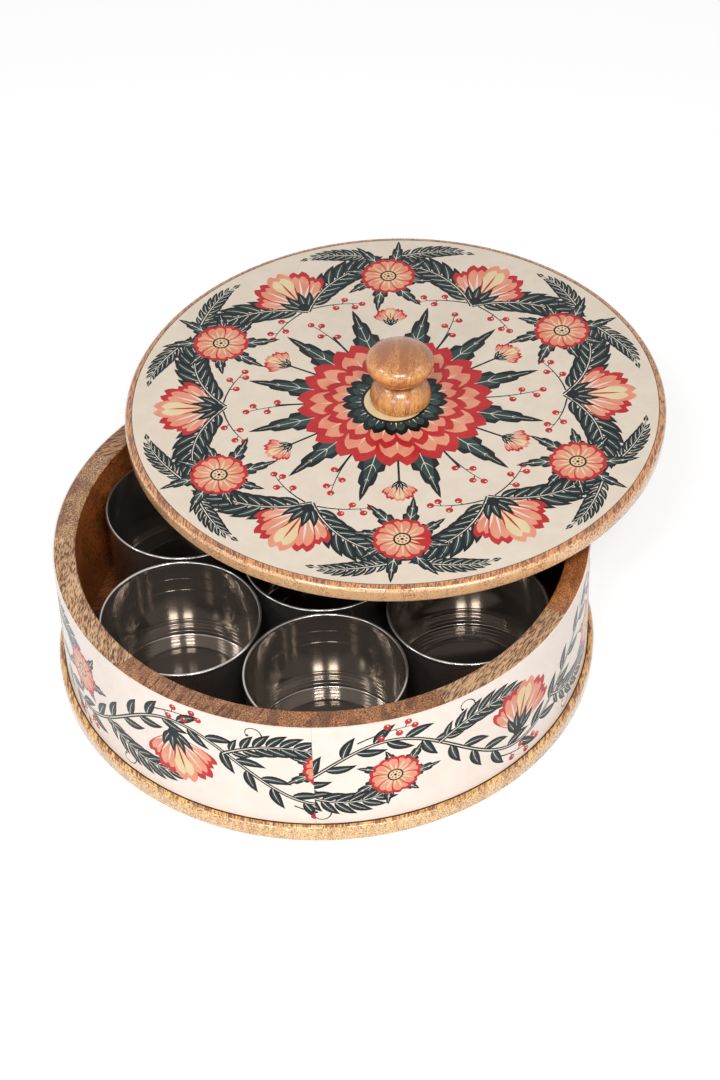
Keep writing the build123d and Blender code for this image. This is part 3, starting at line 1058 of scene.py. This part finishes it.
LID_GROUND = linear(238, 224, 206), linear(231, 215, 196)
WALL_GROUND = linear(252, 239, 229), linear(247, 231, 218)
INKS = {
    "navy": (linear(13, 18, 23), linear(24, 31, 36)),
    "teal": (linear(34, 52, 54), linear(58, 80, 76)),
    "red": (linear(186, 34, 42), linear(202, 56, 56)),
    "salmon": (linear(231, 138, 112), linear(238, 168, 138)),
    "yellow": (linear(232, 205, 154), linear(240, 220, 180)),
    "line": (linear(240, 232, 214), linear(232, 226, 206)),
}
# The cutter's name for triangles inside the outlines, and how near to each other points are taken as one
INSIDE_TRIANGLES = 1
MERGE_MM = 1e-5
MATCHED_DIGITS = 2
FLAT_ANGLE = 0.05
OUTWARD = 0.99
WRAP_SEAM_ANGLE = -93.0
WRAP_SEAM_GAP = 0.1 * MM
SKIN_FOOT_GAP = 0.30 * MM
SKIN_RIM_GAP = 0.15 * MM


def sides(outline):
    """Each point of a closed outline with the next."""
    return zip(outline, outline[1:] + outline[:1])


def winds_round(outline, x, y):
    """Whether the outline goes round the point."""
    turns = 0
    for (x0, y0), (x1, y1) in sides(outline):
        if (y0 > y) != (y1 > y) and x < x0 + (y - y0) / (y1 - y0) * (x1 - x0):
            turns += 1 if y1 > y0 else -1
    return turns != 0


def cut_sheet(drawing, loose=()):
    """Triangles of a drawing laid flat, and further loose points in it.

    Gives the points, the triangles on the ground and the number of each one's topmost outline.
    """
    points = [Vector(place) for place in loose]
    outlines = []
    for _, outline in drawing:
        area = sum(x * v - u * y for (x, y), (u, v) in sides(outline))
        outlines.append(list(range(len(points), len(points) + len(outline)))[:: 1 if area > 0 else -1])
        points += [Vector(place) for place in outline]
    cut = delaunay_2d_cdt(points, [], outlines, INSIDE_TRIANGLES, MERGE_MM, True)
    points, _, triangles, _, _, sources = cut
    kept, numbers = [], []
    for triangle, source in zip(triangles, sources):
        x, y = sum((points[corner] for corner in triangle), Vector((0, 0))) / len(triangle)
        covering = [number for number in source if drawing[number][0] == "ground"]
        if covering:
            kept.append(triangle)
            downwards = sorted(source, reverse=True)
            above = (number for number in downwards if winds_round(drawing[number][1], x, y))
            numbers.append(next(above, covering[0]))
    return points, kept, numbers


def skin_mesh(name, drawing, lay):
    """A closed printed skin. Its face is cut by the drawing, its back is plain.

    Lay gives the place of a flat point in millimetres on its face or, at depth 1, on its back.
    """
    points, triangles, numbers = cut_sheet(drawing)
    edges = dict.fromkeys(edge for triangle in triangles for edge in sides(triangle))
    rim = [(start, end) for start, end in edges if (end, start) not in edges]
    rim_points = {number: points[number] for edge in rim for number in edge}
    back = [outline for outline in drawing if outline[0] == "ground"]
    back_points, back_triangles, _ = cut_sheet(back, rim_points.values())

    def key(point):
        return round(point.x, MATCHED_DIGITS), round(point.y, MATCHED_DIGITS)

    behind = {key(point): number + len(points) for number, point in enumerate(back_points)}
    matched = {number: behind[key(point)] for number, point in rim_points.items()}
    corners = [lay(x, y, 0) for x, y in points] + [lay(x, y, 1) for x, y in back_points]
    faces = triangles + [tuple(n + len(points) for n in t[::-1]) for t in back_triangles]
    faces += [(end, start, matched[start], matched[end]) for start, end in rim]
    mesh = bpy.data.meshes.new(name)
    mesh.from_pydata(corners, [], faces)
    colours = ["ground"] + list(INKS)
    shown = [colours.index(drawing[number][0]) for number in numbers]
    mesh.polygons.foreach_set("material_index", shown + [0] * (len(faces) - len(triangles)))
    mesh.update()
    return mesh


def join_flat_faces(mesh):
    """Joins neighbouring faces that have one colour and lie in one plane."""
    made = bmesh.new()
    made.from_mesh(mesh)
    bmesh.ops.dissolve_limit(made, angle_limit=radians(FLAT_ANGLE), verts=made.verts, edges=made.edges,
                             delimit={"MATERIAL"})
    made.to_mesh(mesh)
    made.free()


def shade_round(mesh):
    """Normals straight out from the Z axis on the faces that look outwards."""
    mesh.shade_smooth()
    normals = []
    for face in mesh.polygons:
        for corner in face.vertices:
            place = mesh.vertices[corner].co
            level = Vector((place.x, place.y, 0)).normalized()
            normals.append(level if face.normal.dot(level) > OUTWARD else face.normal.copy())
    mesh.normals_split_custom_set(normals)


def add_lid_print(inks):
    place, radius, thickness = foot("lid_print")

    def lay(x, y, depth):
        return x * MM, y * MM, thickness * (1 - depth)

    mesh = skin_mesh("lid_print_skin", lid_design(radius / MM), lay)
    join_flat_faces(mesh)
    materials = [ink("print_ground_lid", *LID_GROUND)] + inks
    add_piece("lid_print_skin", mesh, place, "lid", "lid_print", materials)


def add_wall_print(inks):
    low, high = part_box("print_band")
    radius = high.x
    start = radians(WRAP_SEAM_ANGLE) + WRAP_SEAM_GAP / 2 / radius
    length = 2 * pi * radius - WRAP_SEAM_GAP
    height = high.z - low.z
    shrink = (height - SKIN_FOOT_GAP - SKIN_RIM_GAP) / height

    def lay(x, y, depth):
        angle = start + x * MM / radius
        out = radius - depth * SKIN_THICKNESS
        return out * cos(angle), out * sin(angle), SKIN_FOOT_GAP + y * MM * shrink

    mesh = skin_mesh("print_band_skin", wall_design(length / MM, height / MM), lay)
    shade_round(mesh)
    materials = [ink("print_ground_wall", *WALL_GROUND)] + inks
    add_piece("print_band_skin", mesh, (0, 0, low.z), "box", "print_band", materials)


add_camera()
add_world()
add_floor()
add_lamps()
add_base_board()
add_lid_board()
add_knob()
add_wall()
add_cups()
print_inks = [ink(f"print_{name}", *shades) for name, shades in INKS.items()]
add_lid_print(print_inks)
add_wall_print(print_inks)
dress_cad_nodes()

bpy.context.scene.view_settings.view_transform = "Standard"
